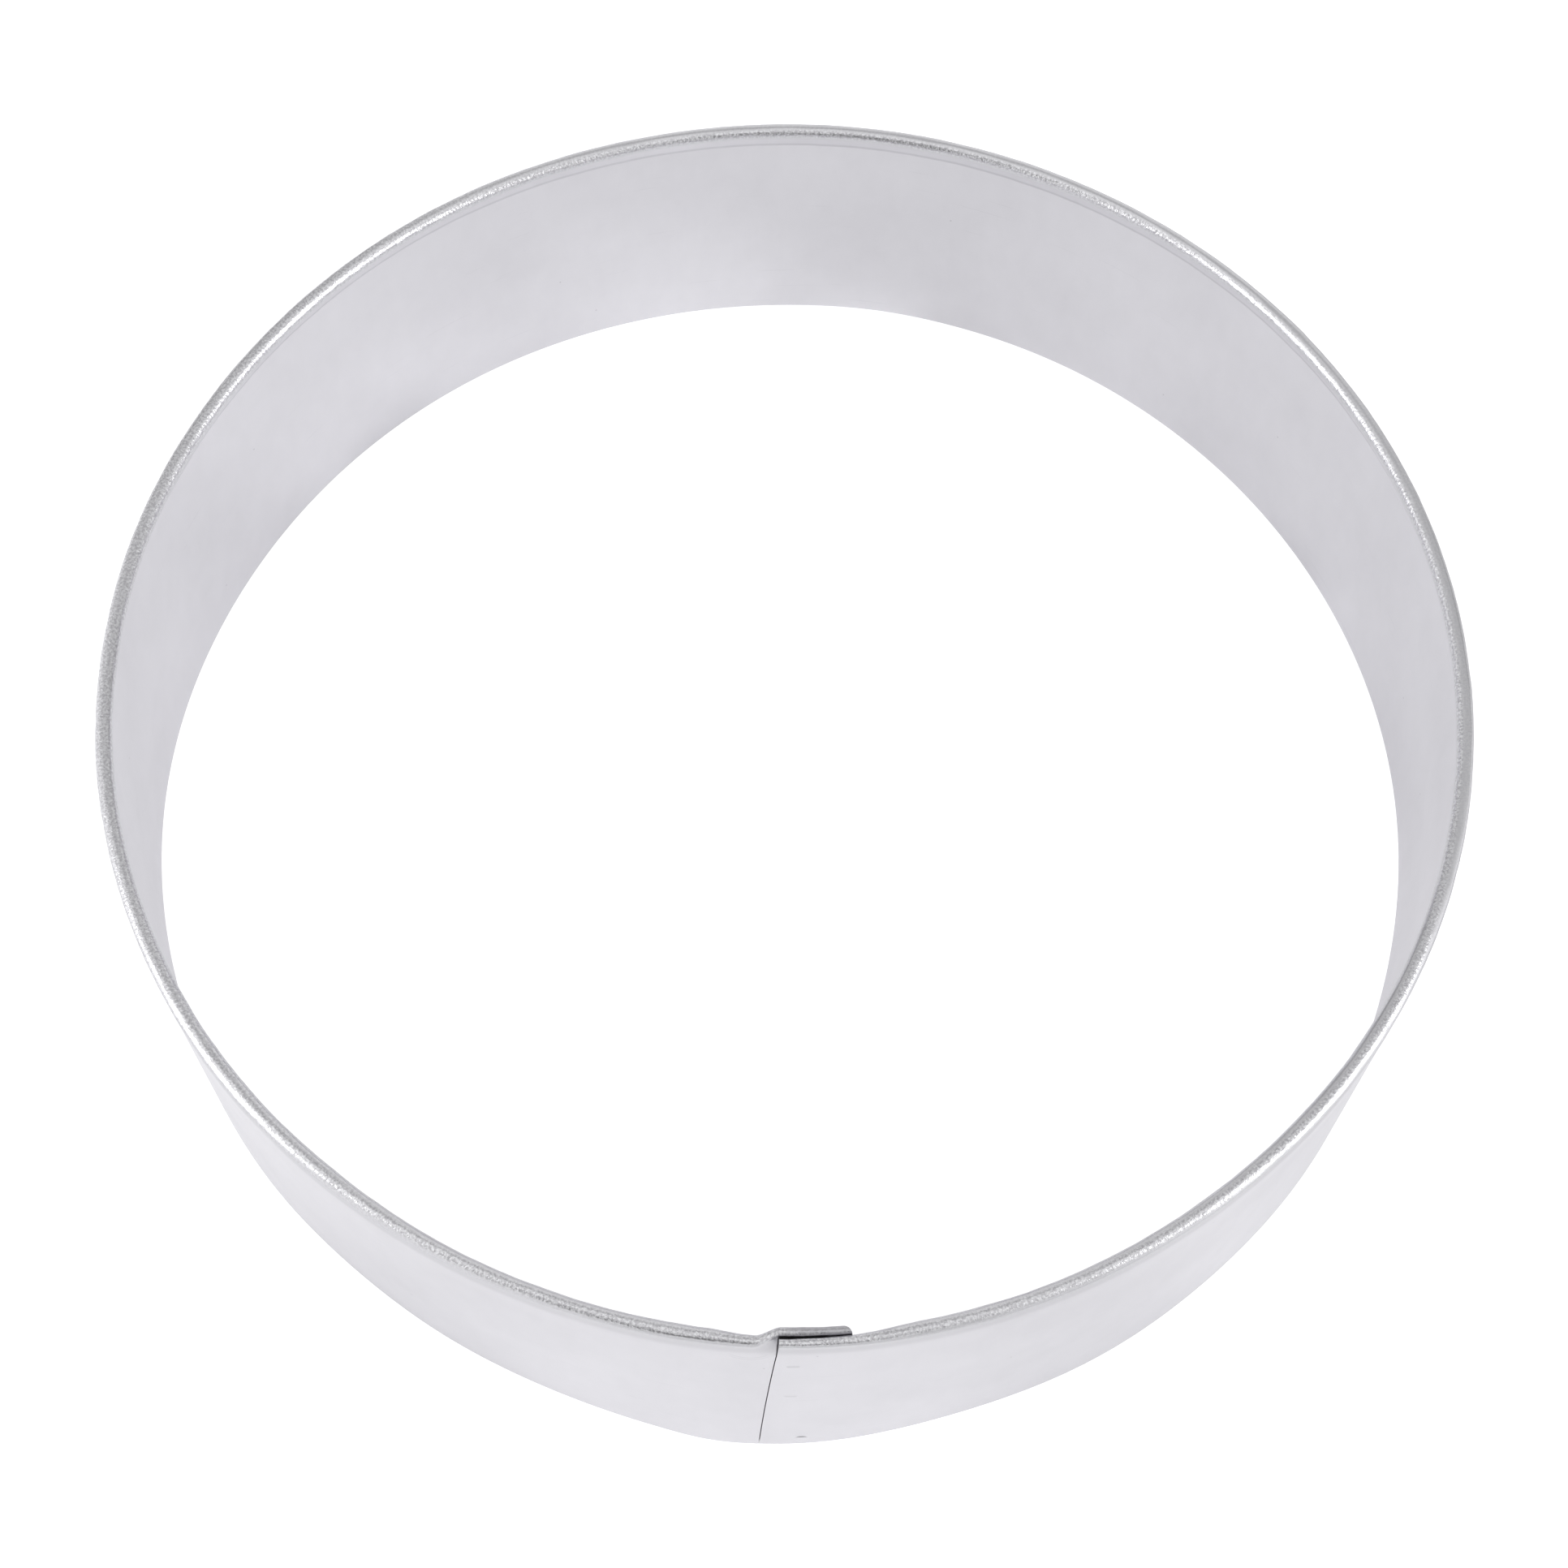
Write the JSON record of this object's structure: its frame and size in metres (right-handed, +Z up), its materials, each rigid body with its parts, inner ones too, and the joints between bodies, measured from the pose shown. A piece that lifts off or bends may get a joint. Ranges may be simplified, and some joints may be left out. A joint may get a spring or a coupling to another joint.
{
  "type": "biscuit cutter",
  "caption": "Round biscuit cutter: a low ring of thin tinplate with a hollow rim folded inward, lapped and spot welded at the front, open at top and bottom.",
  "frame": {"origin": "centre of the ring, on the plane of its cutting edge", "axes": "+Z up the ring's axis to the folded rim, -Y towards the lap, +X to the right seen from the lap"},
  "size_m": [0.1016, 0.1016, 0.0254],
  "materials": {
    "tinplate": "satin electrolytic tinplate",
    "weld": "pressed spot weld mark"
  },
  "bodies": {
    "root": {"tinplate_band": "tinplate", "spot_weld_upper": "weld", "spot_weld_middle": "weld", "spot_weld_lower": "weld"}
  },
  "joints": []
}
